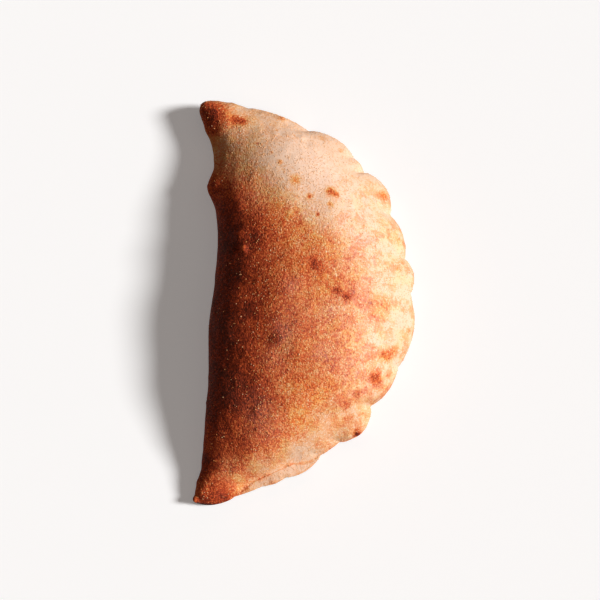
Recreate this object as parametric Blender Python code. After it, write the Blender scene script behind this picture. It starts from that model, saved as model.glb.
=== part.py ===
"""A calzone: a disc of dough folded in half over its filling and pinched shut along a scalloped rim.

It stands on its baked base in the plane z = 0, in metres, with the origin under the middle of its box.
The rounded fold runs along Y on the -X side, the pinched rim bulges towards +X, and the tips are at
+Y, a blunt raised horn, and at -Y, a flat point. An uncut calzone can't be seen into, so it is one solid.

The solid is a UV sphere whose poles become the two tips. Each parallel becomes a station: a closed
section that runs from the fold over the dome to the rim and back under the base.
"""

import math

import bmesh
import bpy
from mathutils import Matrix, Vector, noise

MM = 0.001

# Resolution of the sphere that becomes the crust.
RING_POINTS = 52
STATIONS = 116

# The rim in plan: a superellipse about a centre on the fold's side. Angles run from +X towards +Y.
RIM_CENTRE = Vector((-72.0, -6.5)) * MM
RIM_DEPTH = 140.5 * MM
RIM_REACH_NORTH, RIM_SQUARENESS_NORTH = 135.6 * MM, 2.17
RIM_REACH_SOUTH, RIM_SQUARENESS_SOUTH = 123.0 * MM, 1.78
RIM_END_NORTH, RIM_END_SOUTH = math.radians(86.0), math.radians(-85.5)

# Where fingers pinched the rim shut: the angle in degrees, how far in millimetres the outline stands out at
# the pinch, how far more the lobe south of it swells, and how deep the pinch is pressed in.
PINCHES = (
    (86, 0.0, 0.6, 0.0), (77, 0.0, 1.9, 0.3), (59, -1.0, 4.3, 0.6), (44.5, 1.5, 1.6, 0.1), (39, 0.0, 5.4, 0.8),
    (25, -0.4, 3.0, 0.6), (12, -0.8, 3.4, 0.5), (3, 0.0, 2.9, 0.4), (-20.5, 2.4, 2.6, 0.2),
    (-34, 0.0, 6.2, 0.6), (-46, 1.8, 0.3, 0.3), (-52, 1.4, 3.3, 0.2), (-62, 1.8, 0.7, 0.2),
    (-69, 1.3, 0.4, 0.1), (-76, 1.9, 2.3, 0.1), (-86, 0.0, 0.0, 0.0),
)
CREASE_HALF_DEG, CREASE_LENGTH = 3.2, 17 * MM
CREASE_EDGE = 4 * MM
LOBE_LENGTH, LIP_LOBE_LENGTH = 11 * MM, 6 * MM
NOTCH_SHARP, NOTCH_SOFT = 0.7, 1.6

# The fold in plan: (y, x) in millimetres, from the south tip to the north one.
FOLD_LINE = (
    (-128, -70.2), (-108, -65.4), (-68, -61.8), (-18, -60.4),
    (8, -57.2), (37, -56.2), (60, -58.4), (95, -59.4), (112, -65.4), (124, -69.6),
)

# The two tips: centre, radius and outward direction in plan, half the arc that is left round, and lift.
NORTH_TIP = (Vector((-62.0, 123.0)) * MM, 6.9 * MM, math.radians(144), math.radians(64), 6.0 * MM)
SOUTH_TIP = (Vector((-67.5, -128.6)) * MM, 2.6 * MM, math.radians(224), math.radians(54), 1.0 * MM)
NORTH_THICKNESS, SOUTH_THICKNESS = 10 * MM, 6.5 * MM
TIP_CAP, TIP_BLEND = math.radians(8), math.radians(16)
LIFT_LENGTH = 34 * MM

# Heights of the section.
CREST_HEIGHT, CREST_AT, CREST_CENTRE_Y = 48.5 * MM, 0.44, -6 * MM
NORTH_LENGTH, SOUTH_LENGTH = 134 * MM, 122 * MM
RIM_THICKNESS = 10.5 * MM
FOLD_ROUND_BASE = 17 * MM
RIM_FALL, SOUTH_FALL, RIM_ROUND_BASE = 0.75, 1.55, 4.5 * MM
SOUTH_FALL_START, SOUTH_FALL_END = math.radians(-28), math.radians(-62)
FOLD_EQUATOR, RIM_EQUATOR = 0.37, 0.46

# The lip: the lower sheet of dough shows outside the upper one along part of the south rim.
LIP_NORTH, LIP_SOUTH, LIP_WIDTH = math.radians(-50), math.radians(-78), 5.6 * MM
LIP_TOP, LIP_EDGE_ROUND = 6.0 * MM, 4.0 * MM

# Swellings of the crust: centre, radius and height, in millimetres.
SWELLINGS = (
    ((-60, 71.5, 16), 11.0, 5.4),
    ((-42, 34, 40), 6.0, 2.2),
    ((-22, 96, 30), 26.0, 1.6),
    ((20, -48, 38), 30.0, 1.8),
    ((-8, 40, 50), 28.0, -1.4),
)
UNEVEN_SCALE, UNEVEN_HEIGHT, BASE_BLEND = 34 * MM, 1.3 * MM, 9 * MM

CRUST_COLOUR = (0.62, 0.33, 0.15, 1.0)


def blend(low, high, share):
    """Linear blend of two numbers or vectors."""
    return low * (1 - share) + high * share


def smooth_step(low, high, value):
    """0 below low, 1 above high, with a smooth ramp between."""
    share = min(1.0, max(0.0, (value - low) / (high - low)))
    return share * share * (3 - 2 * share)


def quarter_round(distance, radius):
    """Height, from 0 to 1, of a quarter circle at this distance from its edge."""
    share = min(1.0, max(0.0, distance / radius))
    return math.sqrt(1 - (1 - share) ** 2)


def curve_through(points, place):
    """Value at place of a smooth curve through (place, value) points, in their own units."""
    last = len(points) - 1
    index = max(0, min(last - 1, sum(point[0] <= place for point in points) - 1))
    (left, start), (right, end) = points[index], points[index + 1]
    before, after = points[max(0, index - 1)], points[min(last, index + 2)]
    span = right - left
    slope_in = (end - before[1]) / (right - before[0]) * span
    slope_out = (after[1] - start) / (after[0] - left) * span
    share = (place - left) / span
    square, cube = share**2, share**3
    return (
        start * (2 * cube - 3 * square + 1)
        + slope_in * (cube - 2 * square + share)
        + end * (3 * square - 2 * cube)
        + slope_out * (cube - square)
    )


def pinch(angle):
    """How deep the rim is pressed in here."""
    degrees = math.degrees(angle)
    return MM * max(
        depth * (1 - smooth_step(0, CREASE_HALF_DEG, abs(degrees - place))) for place, _, _, depth in PINCHES
    )


def lobe(angle, near_rim):
    """How far a lobe swells outward here; its notches are sharp at the rim and soften inward."""
    degrees = math.degrees(angle)
    for (north, north_out, swell, _), (south, south_out, _, _) in zip(PINCHES, PINCHES[1:]):
        if south <= degrees <= north:
            share = (degrees - south) / (north - south)
            arch = math.sin(math.pi * share) ** blend(NOTCH_SOFT, NOTCH_SHARP, near_rim)
            return (blend(south_out, north_out, share) + swell * arch) * MM * near_rim
    return 0.0


def rim_base(angle):
    """The rim's outline in plan without its lobes."""
    cosine, sine = math.cos(angle), math.sin(angle)
    if sine > 0:
        reach, power = RIM_REACH_NORTH, 2 / RIM_SQUARENESS_NORTH
    else:
        reach, power = RIM_REACH_SOUTH, 2 / RIM_SQUARENESS_SOUTH
    along = math.copysign(abs(sine) ** power, sine)
    return RIM_CENTRE + Vector((RIM_DEPTH * cosine**power, reach * along))


def lobe_reach(angle, near_rim):
    """How far and which way the rim's lobe reaches out past its base outline."""
    step = math.radians(0.5)
    tangent = (rim_base(angle + step) - rim_base(angle - step)).normalized()
    return Vector((tangent.y, -tangent.x)) * lobe(angle, near_rim)


def rim_point(angle):
    """The rim's outline in plan without its lobes, led into the tips at its ends."""
    north, south = tip_point(NORTH_TIP, -NORTH_TIP[3]), tip_point(SOUTH_TIP, SOUTH_TIP[3])
    into_north = 1 - smooth_step(0, TIP_BLEND, RIM_END_NORTH - angle)
    into_south = 1 - smooth_step(0, TIP_BLEND, angle - RIM_END_SOUTH)
    point = rim_base(angle)
    point += (north - rim_base(RIM_END_NORTH)) * into_north
    return point + (south - rim_base(RIM_END_SOUTH)) * into_south


def tip_point(tip, turn):
    """Point of a tip's round outline, turned from its outward direction."""
    centre, radius, direction, _, _ = tip
    return centre + radius * Vector((math.cos(direction + turn), math.sin(direction + turn)))


def station(latitude):
    """The fold's and the rim's point in plan, the rim's angle, and how full the section is, from 0 to 1."""
    cap_start = math.pi / 2 - TIP_CAP
    past = (abs(latitude) - cap_start) / TIP_CAP
    if past > 0:
        tip, side = (NORTH_TIP, 1) if latitude > 0 else (SOUTH_TIP, -1)
        turn = tip[3] * (1 - past)
        rim_angle = RIM_END_NORTH if latitude > 0 else RIM_END_SOUTH
        fullness = math.sqrt(max(0.0, 1 - past**2))
        return tip_point(tip, side * turn), tip_point(tip, -side * turn), rim_angle, fullness
    share = (latitude / cap_start + 1) / 2
    rim_angle = blend(RIM_END_SOUTH, RIM_END_NORTH, share)
    fold_share = blend(share, (1 + math.sin(math.pi * (share - 0.5))) / 2, 0.35)
    south, north = tip_point(SOUTH_TIP, -SOUTH_TIP[3]), tip_point(NORTH_TIP, NORTH_TIP[3])
    y = blend(south.y, north.y, fold_share)
    fold = Vector((curve_through(FOLD_LINE, y / MM) * MM, y))
    return fold, rim_point(rim_angle), rim_angle, 1.0


def crest_height(y):
    """Height of the dome's crest along the calzone: full in the middle, thin at the tips."""
    away = y - CREST_CENTRE_Y
    length, thickness = (NORTH_LENGTH, NORTH_THICKNESS) if away > 0 else (SOUTH_LENGTH, SOUTH_THICKNESS)
    share = min(1.0, abs(away) / length)
    return thickness + (CREST_HEIGHT - thickness) * (1 - share**2.4) ** 0.95


def dome(share, width, rim_angle):
    """How full the upper sheet is: 1 from the fold to the crest, then down to 0 where the lip begins."""
    down = min(1.0, max(0.0, share - CREST_AT) / (1 - lip_width(rim_angle) / width - CREST_AT))
    southern = 1 - smooth_step(SOUTH_FALL_END, SOUTH_FALL_START, rim_angle)
    return (1 - down**2) ** blend(RIM_FALL, SOUTH_FALL, southern)


def lip_width(rim_angle):
    """How far the lower sheet reaches out past the upper one."""
    share = (LIP_NORTH - rim_angle) / (LIP_NORTH - LIP_SOUTH)
    return LIP_WIDTH * smooth_step(0, 0.35, share) * smooth_step(0, 0.45, 1 - share)


def section_heights(share, width, crest, rim_angle):
    """Heights of the upper and of the lower surface, and of the edge's widest line."""
    from_fold, from_rim = share * width, (1 - share) * width
    equator = blend(FOLD_EQUATOR * crest, RIM_EQUATOR * min(RIM_THICKNESS, crest), share)
    half = width / 2
    round_top = quarter_round(from_fold, CREST_AT * width)
    round_base = quarter_round(from_fold, min(FOLD_ROUND_BASE, half))
    round_base *= quarter_round(from_rim, min(RIM_ROUND_BASE, half))
    lip = lip_width(rim_angle)
    upper = equator + (crest - equator) * round_top * dome(share, width, rim_angle)
    if lip > 0:
        ledge = equator + (LIP_TOP - equator) * quarter_round(from_rim, LIP_EDGE_ROUND)
        upper = blend(ledge, upper, smooth_step(0.3 * MM, 1.8 * MM, from_rim - lip))
    lower = equator * (1 - round_base)
    pressed = pinch(rim_angle) * (1 - smooth_step(0.3, 1.0, from_rim / CREASE_LENGTH))
    return upper - pressed * round_top * quarter_round(from_rim, CREASE_EDGE), lower, equator


def tip_lift(plan):
    """How far the crust is lifted off its base near the tips."""
    lift = 0.0
    for centre, _, _, _, height in (NORTH_TIP, SOUTH_TIP):
        lift += height * (1 - smooth_step(0, 1, (plan - centre).length / LIFT_LENGTH))
    return lift


def swelling(place):
    """How far the crust swells outward here: its named swellings and a slow unevenness."""
    amount = UNEVEN_HEIGHT * noise.noise(place / UNEVEN_SCALE)
    for centre, radius, height in SWELLINGS:
        distance = (place / MM - Vector(centre)).length / radius
        amount += height * MM * math.exp(-(distance**2) * 1.4)
    return amount


def crust_point(on_sphere):
    """Maps a point of the unit sphere to the crust."""
    latitude = math.asin(max(-1.0, min(1.0, on_sphere.z)))
    across = math.atan2(on_sphere.y, on_sphere.x)
    fold, rim, rim_angle, fullness = station(latitude)
    share = (1 + math.cos(across)) / 2
    width = (rim - fold).length
    lobe_length = blend(LOBE_LENGTH, LIP_LOBE_LENGTH, lip_width(rim_angle) / LIP_WIDTH)
    near_rim = 1 - smooth_step(0, 1, (1 - share) * width / lobe_length)
    plan = fold.lerp(rim, share) + lobe_reach(rim_angle, near_rim) * fullness
    crest = crest_height(blend(fold.y, rim.y, CREST_AT))
    upper, lower, equator = section_heights(share, max(width, MM), crest, rim_angle)
    height = equator + ((upper if across > 0 else lower) - equator) * fullness
    place = Vector((plan.x, plan.y, height))
    middle = fold.lerp(rim, CREST_AT)
    outward = Vector((plan.x - middle.x, (plan.y - middle.y) * 0.5, height)).normalized()
    place += outward * swelling(place) * smooth_step(0, BASE_BLEND, height) * fullness
    place.z += tip_lift(plan)
    return place


def build_crust():
    """The whole calzone as one closed mesh, mapped from a UV sphere."""
    shape = bmesh.new()
    bmesh.ops.create_uvsphere(shape, u_segments=RING_POINTS, v_segments=STATIONS, radius=1)
    for vert in shape.verts:
        vert.co = crust_point(vert.co)
    lowest = min(vert.co.z for vert in shape.verts)
    xs = [vert.co.x for vert in shape.verts]
    ys = [vert.co.y for vert in shape.verts]
    middle = Vector(((min(xs) + max(xs)) / 2, (min(ys) + max(ys)) / 2, lowest))
    bmesh.ops.transform(shape, matrix=Matrix.Translation(-middle), verts=shape.verts)
    bmesh.ops.recalc_face_normals(shape, faces=shape.faces)
    mesh = bpy.data.meshes.new("crust")
    shape.to_mesh(mesh)
    shape.free()
    mesh.shade_smooth()
    return mesh


def crust_material():
    """Baked dough: matt and golden brown."""
    material = bpy.data.materials.new("baked_dough")
    material.use_nodes = True
    shader = material.node_tree.nodes["Principled BSDF"]
    shader.inputs["Base Color"].default_value = CRUST_COLOUR
    shader.inputs["Roughness"].default_value = 0.62
    shader.inputs["Metallic"].default_value = 0.0
    return material


def main():
    for old in list(bpy.data.objects):
        bpy.data.objects.remove(old, do_unlink=True)
    collection = bpy.data.collections.new("calzone")
    bpy.context.scene.collection.children.link(collection)
    mesh = build_crust()
    mesh.materials.append(crust_material())
    collection.objects.link(bpy.data.objects.new("calzone", mesh))


main()
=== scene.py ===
"""The looks of a calzone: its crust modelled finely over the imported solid, baked, floured and lit.

Metres, +Z up. The fold runs along Y on the -X side, the pinched rim bulges towards +X, and the tips are
at +Y and -Y. The crust is shaped by the same functions as the solid, then gets its finer relief.
"""

import functools
import math

import bmesh
import bpy
import numpy as np
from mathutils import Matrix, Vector, noise


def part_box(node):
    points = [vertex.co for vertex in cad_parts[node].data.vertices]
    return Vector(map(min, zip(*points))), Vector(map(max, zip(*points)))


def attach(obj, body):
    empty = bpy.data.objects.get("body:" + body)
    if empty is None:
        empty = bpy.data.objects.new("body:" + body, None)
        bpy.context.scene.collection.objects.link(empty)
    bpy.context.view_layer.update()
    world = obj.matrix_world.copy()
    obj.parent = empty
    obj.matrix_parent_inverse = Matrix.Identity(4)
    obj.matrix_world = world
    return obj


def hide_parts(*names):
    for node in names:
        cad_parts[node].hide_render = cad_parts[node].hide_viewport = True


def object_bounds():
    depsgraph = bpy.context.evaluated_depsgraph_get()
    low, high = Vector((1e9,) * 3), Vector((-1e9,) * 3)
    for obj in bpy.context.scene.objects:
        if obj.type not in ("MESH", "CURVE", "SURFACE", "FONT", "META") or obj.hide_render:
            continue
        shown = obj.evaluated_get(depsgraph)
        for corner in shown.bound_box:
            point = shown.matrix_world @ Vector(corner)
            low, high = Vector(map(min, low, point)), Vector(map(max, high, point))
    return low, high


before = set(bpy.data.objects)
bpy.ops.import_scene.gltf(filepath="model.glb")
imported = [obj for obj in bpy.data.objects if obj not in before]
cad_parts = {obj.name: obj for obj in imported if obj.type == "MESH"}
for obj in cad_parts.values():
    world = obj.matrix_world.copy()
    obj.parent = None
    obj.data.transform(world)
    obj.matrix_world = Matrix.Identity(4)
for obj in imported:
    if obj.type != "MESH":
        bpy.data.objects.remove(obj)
CAD_BOX = [list(corner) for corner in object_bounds()]

MM = 0.001
NODE, SLOT, BODY = "calzone", "baked_dough", "root"

# ---------------------------------------------------------------- the crust's form, as in the solid

# Resolution: points around a section, the share of them on the upper sheet, and sections tip to tip.
RING_POINTS, UPPER_SHARE = 240, 0.8
STATIONS = 400

RIM_CENTRE = Vector((-72.0, -6.5)) * MM
RIM_DEPTH = 140.5 * MM
RIM_REACH_NORTH, RIM_SQUARENESS_NORTH = 135.6 * MM, 2.17
RIM_REACH_SOUTH, RIM_SQUARENESS_SOUTH = 123.0 * MM, 1.78
RIM_END_NORTH, RIM_END_SOUTH = math.radians(86.0), math.radians(-85.5)

# Where fingers pinched the rim shut: the angle in degrees, how far in millimetres the outline stands out at
# the pinch, how far more the lobe south of it swells, and how deep the pinch is pressed in.
PINCHES = (
    (86, 0.0, 0.6, 0.0), (77, 0.0, 1.9, 0.3), (59, -1.0, 4.3, 0.6), (44.5, 1.5, 1.6, 0.1), (39, 0.0, 5.4, 0.8),
    (25, -0.4, 3.0, 0.6), (12, -0.8, 3.4, 0.5), (3, 0.0, 2.9, 0.4), (-20.5, 2.4, 2.6, 0.2),
    (-34, 0.0, 6.2, 0.6), (-46, 1.8, 0.3, 0.3), (-52, 1.4, 3.3, 0.2), (-62, 1.8, 0.7, 0.2),
    (-69, 1.3, 0.4, 0.1), (-76, 1.9, 2.3, 0.1), (-86, 0.0, 0.0, 0.0),
)
CREASE_HALF_DEG, CREASE_LENGTH = 2.6, 17 * MM
CREASE_EDGE = 4 * MM
LOBE_LENGTH, LIP_LOBE_LENGTH = 11 * MM, 6 * MM
NOTCH_SHARP, NOTCH_SOFT = 0.7, 1.6

# The fold in plan: (y, x) in millimetres, from the south tip to the north one.
FOLD_LINE = (
    (-128, -70.2), (-108, -65.4), (-68, -61.8), (-18, -60.4),
    (8, -57.2), (37, -56.2), (60, -58.4), (95, -59.4), (112, -65.4), (124, -69.6),
)

# The two tips: centre, radius and outward direction in plan, half the arc that is left round, and lift.
NORTH_TIP = (Vector((-62.0, 123.0)) * MM, 6.9 * MM, math.radians(144), math.radians(64), 6.0 * MM)
SOUTH_TIP = (Vector((-67.5, -128.6)) * MM, 2.6 * MM, math.radians(224), math.radians(54), 1.0 * MM)
NORTH_THICKNESS, SOUTH_THICKNESS = 10 * MM, 6.5 * MM
TIP_CAP, TIP_BLEND = math.radians(8), math.radians(16)
LIFT_LENGTH = 34 * MM

# Heights of the section.
CREST_HEIGHT, CREST_AT, CREST_CENTRE_Y = 48.5 * MM, 0.44, -6 * MM
NORTH_LENGTH, SOUTH_LENGTH = 134 * MM, 122 * MM
RIM_THICKNESS = 10.5 * MM
FOLD_ROUND_BASE = 17 * MM
RIM_FALL, SOUTH_FALL, RIM_ROUND_BASE = 0.75, 1.55, 4.5 * MM
SOUTH_FALL_START, SOUTH_FALL_END = math.radians(-28), math.radians(-62)
FOLD_EQUATOR, RIM_EQUATOR = 0.37, 0.46

# The lip: the lower sheet of dough shows outside the upper one along part of the south rim.
LIP_NORTH, LIP_SOUTH, LIP_WIDTH = math.radians(-50), math.radians(-78), 5.6 * MM
LIP_TOP, LIP_EDGE_ROUND = 6.0 * MM, 4.0 * MM

# Swellings of the crust: centre, radius and height, in millimetres.
SWELLINGS = (
    ((-60, 71.5, 16), 11.0, 5.4),
    ((-42, 34, 40), 6.0, 2.2),
    ((-22, 96, 30), 26.0, 1.6),
    ((20, -48, 38), 30.0, 1.8),
    ((-8, 40, 50), 28.0, -1.4),
)
UNEVEN_SCALE, UNEVEN_HEIGHT, BASE_BLEND = 34 * MM, 1.3 * MM, 9 * MM


def blend(low, high, share):
    """Linear blend of two numbers or vectors."""
    return low * (1 - share) + high * share


def smooth_step(low, high, value):
    """0 below low, 1 above high, with a smooth ramp between."""
    share = min(1.0, max(0.0, (value - low) / (high - low)))
    return share * share * (3 - 2 * share)


def quarter_round(distance, radius):
    """Height, from 0 to 1, of a quarter circle at this distance from its edge."""
    share = min(1.0, max(0.0, distance / radius))
    return math.sqrt(1 - (1 - share) ** 2)


def curve_through(points, place):
    """Value at place of a smooth curve through (place, value) points, in their own units."""
    last = len(points) - 1
    index = max(0, min(last - 1, sum(point[0] <= place for point in points) - 1))
    (left, start), (right, end) = points[index], points[index + 1]
    before, after = points[max(0, index - 1)], points[min(last, index + 2)]
    span = right - left
    slope_in = (end - before[1]) / (right - before[0]) * span
    slope_out = (after[1] - start) / (after[0] - left) * span
    share = (place - left) / span
    square, cube = share**2, share**3
    return (
        start * (2 * cube - 3 * square + 1)
        + slope_in * (cube - 2 * square + share)
        + end * (3 * square - 2 * cube)
        + slope_out * (cube - square)
    )


@functools.lru_cache(maxsize=None)
def pinch(angle):
    """How deep the rim is pressed in here."""
    degrees = math.degrees(angle)
    return MM * max(
        depth * (1 - smooth_step(0, CREASE_HALF_DEG, abs(degrees - place))) for place, _, _, depth in PINCHES
    )


def lobe(angle, near_rim):
    """How far a lobe swells outward here; its notches are sharp at the rim and soften inward."""
    degrees = math.degrees(angle)
    for (north, north_out, swell, _), (south, south_out, _, _) in zip(PINCHES, PINCHES[1:]):
        if south <= degrees <= north:
            share = (degrees - south) / (north - south)
            arch = math.sin(math.pi * share) ** blend(NOTCH_SOFT, NOTCH_SHARP, near_rim)
            return (blend(south_out, north_out, share) + swell * arch) * MM * near_rim
    return 0.0


def rim_base(angle):
    """The rim's outline in plan without its lobes."""
    cosine, sine = math.cos(angle), math.sin(angle)
    if sine > 0:
        reach, power = RIM_REACH_NORTH, 2 / RIM_SQUARENESS_NORTH
    else:
        reach, power = RIM_REACH_SOUTH, 2 / RIM_SQUARENESS_SOUTH
    along = math.copysign(abs(sine) ** power, sine)
    return RIM_CENTRE + Vector((RIM_DEPTH * cosine**power, reach * along))


@functools.lru_cache(maxsize=None)
def rim_outward(angle):
    """Which way the rim faces in plan."""
    step = math.radians(0.5)
    tangent = (rim_base(angle + step) - rim_base(angle - step)).normalized()
    return Vector((tangent.y, -tangent.x))


def rim_point(angle):
    """The rim's outline in plan without its lobes, led into the tips at its ends."""
    north, south = tip_point(NORTH_TIP, -NORTH_TIP[3]), tip_point(SOUTH_TIP, SOUTH_TIP[3])
    into_north = 1 - smooth_step(0, TIP_BLEND, RIM_END_NORTH - angle)
    into_south = 1 - smooth_step(0, TIP_BLEND, angle - RIM_END_SOUTH)
    point = rim_base(angle)
    point += (north - rim_base(RIM_END_NORTH)) * into_north
    return point + (south - rim_base(RIM_END_SOUTH)) * into_south


def tip_point(tip, turn):
    """Point of a tip's round outline, turned from its outward direction."""
    centre, radius, direction, _, _ = tip
    return centre + radius * Vector((math.cos(direction + turn), math.sin(direction + turn)))


@functools.lru_cache(maxsize=None)
def station(latitude):
    """The fold's and the rim's point in plan, the rim's angle, and how full the section is, from 0 to 1."""
    cap_start = math.pi / 2 - TIP_CAP
    past = (abs(latitude) - cap_start) / TIP_CAP
    if past > 0:
        tip, side = (NORTH_TIP, 1) if latitude > 0 else (SOUTH_TIP, -1)
        turn = tip[3] * (1 - past)
        rim_angle = RIM_END_NORTH if latitude > 0 else RIM_END_SOUTH
        fullness = math.sqrt(max(0.0, 1 - past**2))
        return tip_point(tip, side * turn), tip_point(tip, -side * turn), rim_angle, fullness
    share = (latitude / cap_start + 1) / 2
    rim_angle = blend(RIM_END_SOUTH, RIM_END_NORTH, share)
    fold_share = blend(share, (1 + math.sin(math.pi * (share - 0.5))) / 2, 0.35)
    south, north = tip_point(SOUTH_TIP, -SOUTH_TIP[3]), tip_point(NORTH_TIP, NORTH_TIP[3])
    y = blend(south.y, north.y, fold_share)
    fold = Vector((curve_through(FOLD_LINE, y / MM) * MM, y))
    return fold, rim_point(rim_angle), rim_angle, 1.0


@functools.lru_cache(maxsize=None)
def crest_height(y):
    """Height of the dome's crest along the calzone: full in the middle, thin at the tips."""
    away = y - CREST_CENTRE_Y
    length, thickness = (NORTH_LENGTH, NORTH_THICKNESS) if away > 0 else (SOUTH_LENGTH, SOUTH_THICKNESS)
    share = min(1.0, abs(away) / length)
    return thickness + (CREST_HEIGHT - thickness) * (1 - share**2.4) ** 0.95


def dome(share, width, rim_angle):
    """How full the upper sheet is: 1 from the fold to the crest, then down to 0 where the lip begins."""
    down = min(1.0, max(0.0, share - CREST_AT) / (1 - lip_width(rim_angle) / width - CREST_AT))
    southern = 1 - smooth_step(SOUTH_FALL_END, SOUTH_FALL_START, rim_angle)
    return (1 - down**2) ** blend(RIM_FALL, SOUTH_FALL, southern)


@functools.lru_cache(maxsize=None)
def lip_width(rim_angle):
    """How far the lower sheet reaches out past the upper one."""
    share = (LIP_NORTH - rim_angle) / (LIP_NORTH - LIP_SOUTH)
    return LIP_WIDTH * smooth_step(0, 0.35, share) * smooth_step(0, 0.45, 1 - share)


def section_heights(share, width, crest, rim_angle):
    """Heights of the upper and of the lower surface, and of the edge's widest line."""
    from_fold, from_rim = share * width, (1 - share) * width
    equator = blend(FOLD_EQUATOR * crest, RIM_EQUATOR * min(RIM_THICKNESS, crest), share)
    half = width / 2
    round_top = quarter_round(from_fold, CREST_AT * width)
    round_base = quarter_round(from_fold, min(FOLD_ROUND_BASE, half))
    round_base *= quarter_round(from_rim, min(RIM_ROUND_BASE, half))
    lip = lip_width(rim_angle)
    upper = equator + (crest - equator) * round_top * dome(share, width, rim_angle)
    if lip > 0:
        ledge = equator + (LIP_TOP - equator) * quarter_round(from_rim, LIP_EDGE_ROUND)
        upper = blend(ledge, upper, smooth_step(0.3 * MM, 1.8 * MM, from_rim - lip))
    lower = equator * (1 - round_base)
    pressed = pinch(rim_angle) * (1 - smooth_step(0.3, 1.0, from_rim / CREASE_LENGTH))
    return upper - pressed * round_top * quarter_round(from_rim, CREASE_EDGE), lower, equator


def tip_lift(plan):
    """How far the crust is lifted off its base near the tips."""
    lift = 0.0
    for centre, _, _, _, height in (NORTH_TIP, SOUTH_TIP):
        lift += height * (1 - smooth_step(0, 1, (plan - centre).length / LIFT_LENGTH))
    return lift


def swelling(place):
    """How far the crust swells outward here: its named swellings and a slow unevenness."""
    amount = UNEVEN_HEIGHT * noise.noise(place / UNEVEN_SCALE)
    for centre, radius, height in SWELLINGS:
        distance = (place / MM - Vector(centre)).length / radius
        amount += height * MM * math.exp(-(distance**2) * 1.4)
    return amount


def ring_angle(on_sphere):
    """Angle round the section: 0 at the rim and pi at the fold, with most points on the upper sheet."""
    turn = math.atan2(on_sphere.y, on_sphere.x) / math.tau % 1.0
    if turn <= UPPER_SHARE:
        return math.pi * turn / UPPER_SHARE
    return -math.pi * (1 - turn) / (1 - UPPER_SHARE)


def crust_point(on_sphere):
    """Maps a point of the unit sphere to the crust; with it, the rim's angle and the distance from the rim."""
    latitude = round(math.asin(max(-1.0, min(1.0, on_sphere.z))), 5)
    across = ring_angle(on_sphere)
    fold, rim, rim_angle, fullness = station(latitude)
    share = (1 + math.cos(across)) / 2
    width = (rim - fold).length
    lobe_length = blend(LOBE_LENGTH, LIP_LOBE_LENGTH, lip_width(rim_angle) / LIP_WIDTH)
    near_rim = 1 - smooth_step(0, 1, (1 - share) * width / lobe_length)
    plan = fold.lerp(rim, share) + rim_outward(rim_angle) * lobe(rim_angle, near_rim) * fullness
    crest = crest_height(blend(fold.y, rim.y, CREST_AT))
    upper, lower, equator = section_heights(share, max(width, MM), crest, rim_angle)
    height = equator + ((upper if across > 0 else lower) - equator) * fullness
    place = Vector((plan.x, plan.y, height))
    middle = fold.lerp(rim, CREST_AT)
    outward = Vector((plan.x - middle.x, (plan.y - middle.y) * 0.5, height)).normalized()
    place += outward * swelling(place) * smooth_step(0, BASE_BLEND, height) * fullness
    place.z += tip_lift(plan)
    from_rim = (1 - share) * width
    return place, math.degrees(rim_angle), from_rim if across > 0 else -from_rim


def build_crust():
    """The crust as one closed mesh, mapped from a fine UV sphere; with it, each point's place on the rim."""
    shape = bmesh.new()
    bmesh.ops.create_uvsphere(shape, u_segments=RING_POINTS, v_segments=STATIONS, radius=1)
    rim_places = []
    for vert in shape.verts:
        vert.co, rim_degrees, from_rim = crust_point(vert.co)
        rim_places.append((rim_degrees, from_rim / MM))
    bmesh.ops.recalc_face_normals(shape, faces=shape.faces)
    mesh = bpy.data.meshes.new("crust")
    shape.to_mesh(mesh)
    shape.free()
    mesh.shade_smooth()
    fit_to_box(mesh)
    return mesh, np.array(rim_places)


# ---------------------------------------------------------------- working on the mesh in millimetres


def get_places(mesh):
    """The places of the mesh's points, in millimetres."""
    places = np.empty(len(mesh.vertices) * 3)
    mesh.vertices.foreach_get("co", places)
    return places.reshape(-1, 3) / MM


def set_places(mesh, places):
    mesh.vertices.foreach_set("co", (places * MM).ravel())
    mesh.update()


def get_normals(mesh):
    normals = np.empty(len(mesh.vertices) * 3)
    mesh.vertices.foreach_get("normal", normals)
    return normals.reshape(-1, 3)


def fit_to_box(mesh):
    """Moves and scales the mesh by a trace, so that its box is the solid's."""
    low, high = (np.array(corner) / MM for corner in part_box(NODE))
    places = get_places(mesh)
    start, end = places.min(axis=0), places.max(axis=0)
    set_places(mesh, low + (places - start) / (end - start) * (high - low))


def ramp(low, high, values):
    """0 below low, 1 above high, with a smooth ramp between, for an array."""
    share = np.clip((values - low) / (high - low), 0, 1)
    return share * share * (3 - 2 * share)


def waves(places, size, seed):
    """Smooth noise from about -1 to 1 at each place; its waves are about size millimetres long."""
    start = Vector((17.3, 5.1, 11.7)) * seed
    return np.array([noise.noise(Vector(place) / size + start) for place in places])


def bumps(places, spots, flatness=1):
    """The sum of round bumps, each given as (centre, radius, height). A difference in height counts half.

    A larger flatness gives them a flatter top and a sharper edge.
    """
    total = np.zeros(len(places))
    for centre, radius, height in spots:
        away = (((places - np.array(centre)) * (1, 1, 0.5)) ** 2).sum(axis=1) / radius**2
        total += height * np.exp(-1.4 * away**flatness)
    return total


# ---------------------------------------------------------------- relief

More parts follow.
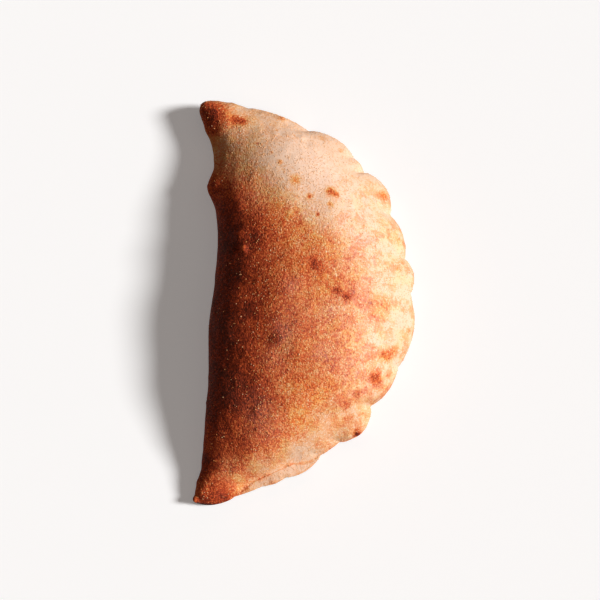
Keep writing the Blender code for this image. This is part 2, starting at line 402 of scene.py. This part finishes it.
# Named bumps and pits of the crust: centre, radius and height, in millimetres.
RELIEF = (
    ((-38.5, 27.5, 38.5), 2.6, 1.9), ((-38.0, 25.0, 39.0), 2.0, 1.1), ((-42.0, 27.0, 36.5), 3.0, -0.7),
    ((-42, 56, 36), 3.4, 0.8), ((-58, 72, 24), 3.0, 0.6), ((-31, 34, 41), 4.5, 0.5),
    ((-15, 119, 11), 3.4, 0.9), ((33, -86, 6), 2.6, 0.6), ((45, -52, 16), 3.6, 0.45),
    ((51, -38, 14), 3.0, 0.35), ((33, -62, 21), 2.8, 0.3), ((-45, 114, 23), 4.0, -0.4),
    ((-18, -31, 47), 6.0, 0.5), ((19, 64, 33), 3.6, 0.35), ((23, -2, 43), 4.0, 0.3),
    ((49, -9, 23), 7.0, -0.5), ((55, 15, 18), 6.0, 0.6), ((38, 40, 25), 7.0, 0.5),
)
LUMPS = ((22.0, 0.75), (9.0, 0.26), (4.4, 0.11))
BLISTERS, BLISTER_RADIUS, BLISTER_HEIGHT = 260, (1.2, 3.6), (0.10, 0.42)

# Where the dough overlaps itself at a pinch: rim angle, half width in degrees, length and step in millimetres.
OVERLAPS = ((39.0, 0.6, 7.0, 0.8), (-34.0, 0.7, 6.0, 0.3), (-46.0, 0.7, 6.0, 0.2), (59.0, 0.9, 6.0, 0.2))
SEAM_DEPTH, SEAM_HALF_WIDTH = 0.7, 0.55


def scattered_blisters(places, normals, chance):
    """Small round blisters at seeded random places of the upper crust."""
    upper = np.nonzero((normals[:, 2] > 0.1) & (places[:, 2] > 5))[0]
    centres = places[chance.choice(upper, BLISTERS, replace=False)]
    radii = chance.uniform(*BLISTER_RADIUS, BLISTERS)
    heights = chance.uniform(*BLISTER_HEIGHT, BLISTERS)
    return list(zip(centres, radii, heights))


def overlap_step(rim_places):
    """The step where one lobe's dough lies over the next one's."""
    degrees, from_rim = rim_places.T
    total = np.zeros(len(rim_places))
    for angle, half, length, height in OVERLAPS:
        bent = degrees - angle + 0.10 * np.abs(from_rim)
        side = np.clip(bent / half, -1, 1)
        near = np.exp(-((bent / (4 * half)) ** 2)) * (1 - ramp(0.3 * length, length, np.abs(from_rim)))
        total -= height * side * near * (from_rim > 0)
    return total


def add_relief(mesh, rim_places):
    """Raises the crust's lumps, blisters, overlaps and the seam between its two sheets of dough."""
    places, normals = get_places(mesh), get_normals(mesh)
    amount = bumps(places, RELIEF)
    amount += bumps(places, scattered_blisters(places, normals, np.random.default_rng(5)))
    for seed, (size, height) in enumerate(LUMPS):
        amount += height * waves(places, size, seed + 1)
    above_base = ramp(1.5, 6.0, places[:, 2])
    amount = amount * (0.15 + 0.85 * above_base) + overlap_step(rim_places)
    outer = np.abs(rim_places[:, 1]) < 4
    seam_height = 3.9 + 0.35 * np.sin(rim_places[:, 0] / 5)
    seam = np.exp(-(((places[:, 2] - seam_height) / SEAM_HALF_WIDTH) ** 2)) * outer
    amount -= SEAM_DEPTH * seam
    set_places(mesh, places + normals * amount[:, None])
    fit_to_box(mesh)


# ---------------------------------------------------------------- painting

# Browned and scorched spots, those at the tips partly painted shade: centre and radius in millimetres, how much
# browner the crust is there.
SPOTS = (
    ((-45, 115, 23), 4.2, 0.55), ((-40, 114, 23), 3.2, 0.60), ((-15, 119, 13), 2.8, 0.6),
    ((-16, 83, 36), 1.8, 0.65), ((-6, 71, 39), 4.0, 0.50), ((16, 64, 36), 3.6, 0.75),
    ((20, 62, 36), 2.4, 0.55), ((3, 60, 40), 2.2, 0.65), ((16, 55, 39), 2.4, 0.5), ((8, 48, 42), 1.2, 1.0),
    ((-5, 50, 43), 3.0, 0.28), ((-3, 42, 44), 4.5, 0.25), ((20, -1, 45), 3.6, 0.42), ((26, -5, 44), 3.0, 0.62),
    ((45, -53, 22), 5.2, 0.90), ((51, -39, 20), 4.4, 0.64), ((33, -63, 25), 3.4, 0.30),
    ((53, -50, 13), 2.8, 0.40), ((37, -73, 15), 2.6, 0.42), ((56, -35, 17), 3.2, 0.32),
    ((6, 16, 47), 5.0, 0.60), ((-18, -31, 47), 5.5, 0.36), ((-34, -13, 44), 5.5, 0.3),
    ((-31, 33, 42), 6.5, 0.3), ((-44, 10, 37), 8.0, 0.25), ((16, 31, 44), 6.0, 0.15), ((9, 11, 47), 3.0, 0.25),
    ((33, -86, 6), 2.6, 1.1), ((43, -67, 8), 3.2, 0.4), ((-55, -121, 6), 7.0, 0.35), ((-58, 116, 20), 5.0, 0.15), ((51, -58, 11), 3.4, 0.35),
    ((66, -21, 12), 2.8, 0.45), ((61, 37, 14), 3.0, 0.3), ((51, 67, 13), 3.4, 0.3),
    ((11, 105, 15), 3.0, 0.3), ((24, 97, 15), 3.0, 0.35), ((25, -70, 27), 5.0, 0.25),
    # The large spots at the north and south tips, here and in the next two rows, are partly the tips' browning and
    # partly painted shade.
    ((-64, 121, 19), 9.0, 0.75), ((-54, 120, 21), 8.0, 0.5), ((-60, 111, 19), 8.0, 0.5),
    ((-63, -129, 5), 8.0, 0.75), ((-50, -128, 5), 8.0, 0.75), ((-58, 71, 24), 4.0, 0.2),
    ((-62, -108, 9), 14.0, 0.60), ((-45, 30, 36), 10.0, 0.15), ((-5, 30, 45), 14.0, -0.06),
    ((14, 28, 44), 14.0, -0.04), ((-39, 27, 38), 2.6, -0.45), ((-12, -63, 42), 9.0, -0.18),
    ((-12, -36, 46), 5.0, -0.25), ((47, -29, 27), 6.0, -0.3), ((61, -16, 18), 6.0, -0.50), ((50, -56, 18), 16.0, -0.15), ((34, -58, 26), 8.0, -0.10),
    ((44, 12, 32), 4.0, -0.3), ((-7, -100, 12), 14.0, -0.15),
)
# Golden patches with sharper edges: centre, radius and strength, in millimetres.
PATCHES = (
    ((46, -10, 29), 9.0, 0.20), ((52, -6, 26), 5.0, 0.08), ((27, 3, 43), 9.0, 0.10), ((52, 48, 20), 6.0, 0.10),
    ((60, 22, 16), 6.5, 0.12), ((57, 40, 16), 5.0, 0.12), ((50, 66, 15), 5.0, 0.14), ((43, -42, 27), 5.0, 0.10),
)
# Floured patches of the browned crust: centre, radius and strength.
FLOURED = (
    ((-14, -28, 47), 9.0, 0.30), ((-20, -44, 44), 12.0, 0.22), ((14, -14, 46), 6.0, 0.20),
    ((-8, 2, 48), 7.0, 0.18), ((10, -40, 44), 7.0, 0.15), ((-30, -80, 26), 14.0, 0.35), ((-28, 60, 40), 12.0, 0.25),
)
# Smooth pale places of the rim: centre, radius and strength.
SMOOTH = (((61, -16, 18), 9.0, 1.0), ((54, -30, 20), 7.0, 0.7), ((66, 2, 12), 7.0, 0.7), ((49, 22, 26), 6.0, 0.5))
# Small dark pores of the pale crust.
PORES = (
    ((-18, 107, 24), 0.9), ((-11, 102, 26), 0.9), ((-30, 97, 31), 1.0), ((36, 24, 33), 0.7),
    ((16, 81, 26), 0.8), ((-21, 90, 34), 0.9), ((-14, 78, 37), 0.8), ((-7, 104, 24), 0.7),
)


def paint(mesh, name, values):
    layer = mesh.attributes.new(name, "FLOAT", "POINT")
    layer.data.foreach_set("value", values.astype(np.float32))


def paint_crust(mesh, rim_places):
    """Writes how browned, mottled and floured each point of the crust is; towards the fold side the browning is
    raised and the flour thinned, partly as painted shade.
    """
    places, normals = get_places(mesh), get_normals(mesh)
    x, y, z = places.T
    degrees, from_rim = rim_places.T
    drift = waves(places, 26, 11)
    blotch = waves(places, 9, 12)
    west = np.clip((30 - x) / 75, 0, 1)
    north = 1 - ramp(0, 1, (y + 12 * drift + 6 * blotch - 12 - 26 * west) / (50 + 16 * west))
    south = 0.06 + 0.94 * ramp(0, 1, (y + 10 * drift + 5 * blotch + 129) / (76 - 14 * west))
    # Browning rises towards the fold side (low x): partly the oven's browning, partly painted shade on the side that
    # turns away from the key light.
    across = np.clip(0.62 - 0.0088 * x, 0, 1.05) * (1 - 0.55 * ramp(44, 62, x))
    browning_and_shade = across * north * south + 0.10 * drift + 0.12 * blotch
    # More browning on the fold side, darker and redder: partly real browning, partly painted shade.
    browning_and_shade += (0.40 - 0.08 * ramp(60, 90, y)) * ramp(-10, -50, x) * (1 - 0.5 * north * south)
    browning_and_shade -= 0.03 * ramp(70, 90, y) * ramp(-25, 5, x)
    browning_and_shade += 0.05 * ramp(42, 56, x) * (1 - ramp(45, 70, y))
    valley = np.zeros(len(places))
    for angle, _, _, _ in PINCHES[1:-1]:
        valley = np.maximum(valley, np.exp(-(((degrees - angle) / 2.2) ** 2)))
    band = (1 - ramp(6, 26, np.abs(from_rim))) * (from_rim > 0)
    browning_and_shade -= 0.16 * valley * band
    edge = (1 - ramp(0.4, 2.6, from_rim)) * (1 - valley) * (from_rim > -3)
    browning_and_shade += edge * np.clip(0.12 + 0.55 * waves(places, 14, 13), 0, 0.5)
    lip = np.array([lip_width(math.radians(angle)) for angle in degrees]) / MM
    on_lip = ramp(0, 1.5, lip) * (from_rim > 0) * (1 - ramp(-0.6, 0.4, from_rim - lip))
    lip_line = ramp(0, 1.5, lip) * np.exp(-(((from_rim - lip - 0.6) / 0.8) ** 2))
    browning_and_shade += 0.30 * lip_line * np.clip(0.7 + waves(places, 8, 15), 0, 1) - 0.12 * on_lip
    under = ramp(-0.2, -0.9, normals[:, 2])
    toasted = np.clip(0.5 + 0.75 * waves(places, 17, 14) + 0.3 * blotch, 0.05, 1.2)
    browning_and_shade = browning_and_shade * (1 - under) + toasted * under
    spots = bumps(places, SPOTS)
    patches = bumps(places, PATCHES, flatness=3)
    browning_and_shade += spots + patches
    pores = bumps(places, [(centre, radius, 0.9) for centre, radius in PORES])
    paint(mesh, "browning_and_shade", np.clip(browning_and_shade + pores, 0, 1.5) / 1.5)
    mottle = ramp(8, 32, x) * (1 - 0.7 * valley * band) * (1 - 0.75 * ramp(60, 85, y))
    mottle = (mottle + 0.25 * north) * (1 - np.clip(bumps(places, SMOOTH), 0, 0.9))
    paint(mesh, "mottle", np.clip(mottle, 0, 1))
    flour_thinned_in_shade = 0.78 * (1 - ramp(0.05, 0.55, across * north * south)) * (1 - 0.6 * band) + 0.15 * drift
    # Flour thins out towards the fold side: painted shade, which keeps the shaded side red-brown instead of pale.
    flour_thinned_in_shade = (flour_thinned_in_shade + 0.3 * on_lip + bumps(places, FLOURED)) * (1 - 0.82 * ramp(14, -45, x))
    flour_thinned_in_shade *= 1 - np.clip(2.6 * (spots + patches), 0, 1)
    paint(mesh, "flour_thinned_in_shade", np.clip(flour_thinned_in_shade, 0, 1))
    return (0.5 * np.clip(flour_thinned_in_shade, 0, 1) + 0.6) * (1 - 0.95 * ramp(-6, -42, x))


# ---------------------------------------------------------------- loose flour and semolina

GRAINS, GRAIN_RADIUS, GRAIN_SINK = 7500, (0.20, 0.48), 0.15


def scatter_grains(crust, weights):
    """Loose grains on the upper crust as one joined mesh, with more of them where the crust is floured."""
    chance = np.random.default_rng(8)
    places, normals = get_places(crust), get_normals(crust)
    spacing = np.linalg.norm(np.roll(places, -1, axis=0) - places, axis=1)
    weights = weights * np.clip(normals[:, 2] + 0.15, 0, 1) * np.clip(spacing, 0, 1.2) * (places[:, 2] > 5)
    chosen = chance.choice(len(places), GRAINS, replace=False, p=weights / weights.sum())
    shape = bmesh.new()
    bmesh.ops.create_icosphere(shape, subdivisions=1, radius=1)
    corners = np.array([vert.co for vert in shape.verts])
    faces = np.array([[vert.index for vert in face.verts] for face in shape.faces])
    shape.free()
    radii = chance.uniform(*GRAIN_RADIUS, (GRAINS, 1, 1)) * chance.uniform(0.7, 1.25, (GRAINS, 1, 3))
    turns, _ = np.linalg.qr(chance.normal(size=(GRAINS, 3, 3)))
    grains = np.einsum("gij,gcj->gci", turns, corners * radii)
    turned_over = np.linalg.det(turns) < 0
    grains[turned_over] *= -1
    centres = places[chosen] - normals[chosen] * GRAIN_SINK * radii[:, 0]
    low, high = (np.array(corner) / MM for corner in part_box(NODE))
    points = np.clip(grains + centres[:, None], low, high).reshape(-1, 3)
    links = (faces + np.arange(GRAINS)[:, None, None] * len(corners)).reshape(-1, 3)
    mesh = bpy.data.meshes.new("flour_grains")
    mesh.from_pydata(points * MM, [], links)
    mesh.shade_smooth()
    browning_and_shade = np.empty(len(places), np.float32)
    crust.attributes["browning_and_shade"].data.foreach_get("value", browning_and_shade)
    # Grains are darker where the crust is browner, including the fold side's painted shade.
    tones = chance.uniform(0, 1, GRAINS) * np.clip(0.1 + 2.5 * browning_and_shade[chosen], 0, 1)
    paint(mesh, "tone", np.repeat(tones, len(corners)))
    return mesh


# ---------------------------------------------------------------- materials

# Crust colours, linear, from pale dough to scorched, whose dark end also gives the fold side's painted shade: how
# far along the ramp, then the colour.
BAKE_COLOURS = (
    (0.00, (0.91, 0.615, 0.430)), (0.13, (0.87, 0.445, 0.215)), (0.28, (0.81, 0.292, 0.102)),
    (0.42, (0.74, 0.160, 0.046)), (0.54, (0.60, 0.098, 0.029)), (0.67, (0.41, 0.055, 0.019)),
    (0.83, (0.22, 0.031, 0.012)), (1.00, (0.10, 0.018, 0.009)),
)
FLOUR_COLOUR, GOLDEN_TINT = (0.96, 0.70, 0.57), (1.0, 1.0, 0.72)
GRAIN_COLOURS = ((0.0, (0.92, 0.60, 0.38)), (0.5, (0.88, 0.46, 0.20)), (1.0, (0.74, 0.30, 0.10)))


class Nodes:
    """Adds and links the nodes of one material. Lengths are in millimetres."""

    def __init__(self, name):
        self.material = bpy.data.materials.new(name)
        self.material.use_nodes = True
        self.tree = self.material.node_tree
        self.shader = self.tree.nodes["Principled BSDF"]
        coordinates = self.tree.nodes.new("ShaderNodeTexCoord")
        scaled = self.add("ShaderNodeVectorMath", {0: coordinates.outputs["Object"], "Scale": 1 / MM}, operation="SCALE")
        self.place = scaled.outputs[0]

    def add(self, kind, inputs, **settings):
        """A node with these settings; each input is a value or another node's output."""
        node = self.tree.nodes.new(kind)
        for key, value in settings.items():
            setattr(node, key, value)
        for key, value in inputs.items():
            self.feed(node.inputs[key], value)
        return node

    def feed(self, socket, value):
        if isinstance(value, bpy.types.NodeSocket):
            self.tree.links.new(value, socket)
        else:
            socket.default_value = value

    def math(self, operation, first, second=0.0, third=0.0):
        node = self.add("ShaderNodeMath", {0: first, 1: second, 2: third}, operation=operation)
        return node.outputs[0]

    def spread(self, value, low, high, start=0.0, end=1.0):
        """Maps low..high smoothly to start..end."""
        inputs = {"Value": value, "From Min": low, "From Max": high, "To Min": start, "To Max": end}
        return self.add("ShaderNodeMapRange", inputs, interpolation_type="SMOOTHSTEP").outputs[0]

    def noise(self, size, detail=2.0, rough=0.5, twist=0.0):
        inputs = {"Vector": self.place, "Scale": 1 / size, "Detail": detail, "Roughness": rough, "Distortion": twist}
        return self.add("ShaderNodeTexNoise", inputs).outputs[0]

    def cells(self, size, feature="F1"):
        """A Voronoi pattern's node."""
        return self.add("ShaderNodeTexVoronoi", {"Vector": self.place, "Scale": 1 / size}, feature=feature)

    def attribute(self, name):
        return self.add("ShaderNodeAttribute", {}, attribute_name=name).outputs["Fac"]

    def mix(self, share, first, second, blend_type="MIX"):
        node = self.add("ShaderNodeMix", {0: share}, data_type="RGBA", blend_type=blend_type)
        self.feed(node.inputs[6], first)
        self.feed(node.inputs[7], second)
        return node.outputs[2]

    def colours(self, value, stops):
        node = self.add("ShaderNodeValToRGB", {"Fac": value})
        band = node.color_ramp.elements
        while len(band) < len(stops):
            band.new(1.0)
        for element, (position, colour) in zip(band, stops):
            element.position = position
            element.color = (*colour, 1)
        return node.outputs[0]

    def bump(self, height, depth, before=None):
        """Relief of this depth in millimetres, on top of an earlier bump."""
        inputs = {"Height": height, "Distance": depth * MM, "Strength": 1.0}
        if before is not None:
            inputs["Normal"] = before
        return self.add("ShaderNodeBump", inputs).outputs[0]


def crust_material():
    """Baked dough: pale and floured to golden and scorched, grainy and matt; darker and redder on the fold side,
    partly as painted shade.
    """
    nodes = Nodes("baked_crust")
    browning_and_shade, mottle, flour_thinned_in_shade = (nodes.attribute(name) for name in ("browning_and_shade", "mottle", "flour_thinned_in_shade"))
    coarse = nodes.noise(5.0, detail=3.0, rough=0.6)
    middle = nodes.noise(2.0, detail=2.0, rough=0.6)
    fine = nodes.noise(0.7, detail=1.0)
    grain = nodes.cells(0.95)
    grains = nodes.add("ShaderNodeSeparateColor", {"Color": grain.outputs["Color"]}).outputs
    specks = nodes.math(
        "MULTIPLY", nodes.spread(grain.outputs["Distance"], 0.60, 0.15), nodes.spread(grains[1], 0.60, 0.95)
    )
    blotches = nodes.math("MULTIPLY", nodes.spread(nodes.noise(7.0, detail=3.0, rough=0.6), 0.47, 0.58), mottle)
    bake = nodes.math("MULTIPLY_ADD", blotches, 0.20, browning_and_shade)
    strength = nodes.spread(browning_and_shade, 0.0, 0.35, 0.40, 0.90)
    for pattern, amount in ((coarse, 0.28), (middle, 0.45), (fine, 0.50), (grains[0], 0.32)):
        swing = nodes.math("MULTIPLY", nodes.math("SUBTRACT", pattern, 0.5), strength)
        bake = nodes.math("MULTIPLY_ADD", swing, amount, bake)
    bake = nodes.math("MULTIPLY_ADD", specks, -0.25, bake)
    golden = nodes.spread(nodes.noise(9.0, detail=3.0, rough=0.65), 0.42, 0.60)
    golden_places = nodes.math("MAXIMUM", nodes.spread(browning_and_shade, 0.03, 0.25), nodes.math("MULTIPLY", mottle, 0.8))
    golden_places = nodes.math("MULTIPLY", golden_places, nodes.spread(browning_and_shade, 0.30, 0.50, 1.0, 0.4))
    golden = nodes.math("MULTIPLY", golden, golden_places)
    bake = nodes.math("MULTIPLY_ADD", golden, -0.05, bake)
    colour = nodes.colours(bake, BAKE_COLOURS)
    colour = nodes.mix(golden, colour, (*GOLDEN_TINT, 1), "MULTIPLY")
    veil = nodes.spread(nodes.noise(1.6, detail=3.0, rough=0.7), 0.38, 0.68, 0.25, 0.95)
    dusted = nodes.math("MULTIPLY", nodes.math("MAXIMUM", specks, veil), flour_thinned_in_shade)
    colour = nodes.mix(dusted, colour, (*FLOUR_COLOUR, 1))
    nodes.feed(nodes.shader.inputs["Base Color"], colour)
    rough = nodes.spread(bake, 0.0, 0.7, 0.86, 0.60)
    rough = nodes.math("MULTIPLY_ADD", nodes.math("SUBTRACT", middle, 0.5), 0.25, rough)
    nodes.feed(nodes.shader.inputs["Roughness"], nodes.math("MULTIPLY_ADD", dusted, 0.15, rough))
    nodes.shader.inputs["Specular IOR Level"].default_value = 0.10
    roughness = nodes.spread(browning_and_shade, 0.0, 0.35, 0.28, 1.1)
    relief = nodes.bump(nodes.noise(12.0), 0.3)
    blisters = nodes.cells(1.7, "SMOOTH_F1").outputs["Distance"]
    patterns = ((nodes.noise(3.0), 0.12), (blisters, -0.20), (grain.outputs["Distance"], -0.26), (nodes.noise(0.6), 0.14))
    for pattern, depth in patterns:
        relief = nodes.bump(nodes.math("MULTIPLY", pattern, roughness), depth, relief)
    nodes.feed(nodes.shader.inputs["Normal"], relief)
    return nodes.material


def grain_material():
    """Flour and semolina: pale cream to golden grains, matt and slightly rough."""
    nodes = Nodes("semolina")
    tone = nodes.math("MULTIPLY_ADD", nodes.noise(0.4), 0.35, nodes.attribute("tone"))
    nodes.feed(nodes.shader.inputs["Base Color"], nodes.colours(tone, GRAIN_COLOURS))
    nodes.feed(nodes.shader.inputs["Roughness"], nodes.spread(tone, 0.0, 1.3, 0.62, 0.9))
    nodes.shader.inputs["Specular IOR Level"].default_value = 0.2
    nodes.feed(nodes.shader.inputs["Normal"], nodes.bump(nodes.noise(0.25), 0.05))
    return nodes.material


# ---------------------------------------------------------------- studio

CAMERA_ELEVATION, CAMERA_DISTANCE = math.radians(80), 1.0
CAMERA_LENS, CAMERA_SENSOR = 94.8, 36.0
CAMERA_SHIFT = (-0.0082, -0.0092)
KEY_ELEVATION, KEY_AZIMUTH = math.radians(32), math.radians(0)
KEY_STRENGTH, KEY_ANGLE = 4.4, math.radians(14)
TOP_STRENGTH, TOP_ANGLE = 0.13, math.radians(60)
BACK_STRENGTH, BACK_ANGLE = 0.30, math.radians(60)


def aim(thing, direction):
    """Turns a camera or a lamp so that it looks against this direction."""
    thing.rotation_euler = Vector(direction).to_track_quat("Z", "Y").to_euler()


def add_camera():
    low, high = (Vector(corner) for corner in CAD_BOX)
    back = Vector((0, -math.cos(CAMERA_ELEVATION), math.sin(CAMERA_ELEVATION)))
    camera = bpy.data.objects.new("camera", bpy.data.cameras.new("camera"))
    camera.data.lens, camera.data.sensor_width = CAMERA_LENS, CAMERA_SENSOR
    camera.data.shift_x, camera.data.shift_y = CAMERA_SHIFT
    camera.location = (low + high) / 2 + back * CAMERA_DISTANCE
    aim(camera, back)
    bpy.context.scene.collection.objects.link(camera)
    bpy.context.scene.camera = camera


def add_sun(name, direction, strength, angle, colour):
    lamp = bpy.data.lights.new(name, "SUN")
    lamp.energy, lamp.angle, lamp.color = strength, angle, colour
    sun = bpy.data.objects.new(name, lamp)
    aim(sun, direction)
    bpy.context.scene.collection.objects.link(sun)


def add_studio():
    level = math.cos(KEY_ELEVATION)
    key = Vector((level * math.cos(KEY_AZIMUTH), level * math.sin(KEY_AZIMUTH), math.sin(KEY_ELEVATION)))
    add_sun("key", key, KEY_STRENGTH, KEY_ANGLE, (1, 1, 1))
    add_sun("top", Vector((0.3, 0, 1)), TOP_STRENGTH, TOP_ANGLE, (1, 0.85, 0.72))
    add_sun("back", Vector((-1, -0.5, 0.15)), BACK_STRENGTH, BACK_ANGLE, (1, 0.78, 0.62))
    world = bpy.data.worlds.new("studio")
    world.use_nodes = True
    background = world.node_tree.nodes["Background"]
    background.inputs["Color"].default_value = (1.0, 0.56, 0.40, 1)
    background.inputs["Strength"].default_value = 0.035
    bpy.context.scene.world = world
    shape = bmesh.new()
    bmesh.ops.create_grid(shape, x_segments=1, y_segments=1, size=20)
    mesh = bpy.data.meshes.new("floor")
    shape.to_mesh(mesh)
    shape.free()
    floor = bpy.data.objects.new("floor", mesh)
    material = bpy.data.materials.new("floor")
    material.use_nodes = True
    shader = material.node_tree.nodes["Principled BSDF"]
    shader.inputs["Base Color"].default_value = (0.9, 0.9, 0.9, 1)
    shader.inputs["Roughness"].default_value = 1.0
    shader.inputs["Emission Color"].default_value = (1, 1, 1, 1)
    shader.inputs["Emission Strength"].default_value = 0.2
    mesh.materials.append(material)
    floor.visible_diffuse = False
    bpy.context.scene.collection.objects.link(floor)


def add_piece(name, mesh, material):
    """Links a finished mesh as a piece of the calzone."""
    mesh.materials.append(material)
    piece = bpy.data.objects.new(name, mesh)
    bpy.context.scene.collection.objects.link(piece)
    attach(piece, BODY)
    return piece


def main():
    bpy.context.scene.view_settings.view_transform = "Standard"
    mesh, rim_places = build_crust()
    add_relief(mesh, rim_places)
    grain_weights = paint_crust(mesh, rim_places)
    crust = add_piece("crust", mesh, crust_material())
    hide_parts(NODE)
    add_piece("flour_grains", scatter_grains(mesh, grain_weights), grain_material())
    add_camera()
    add_studio()


main()
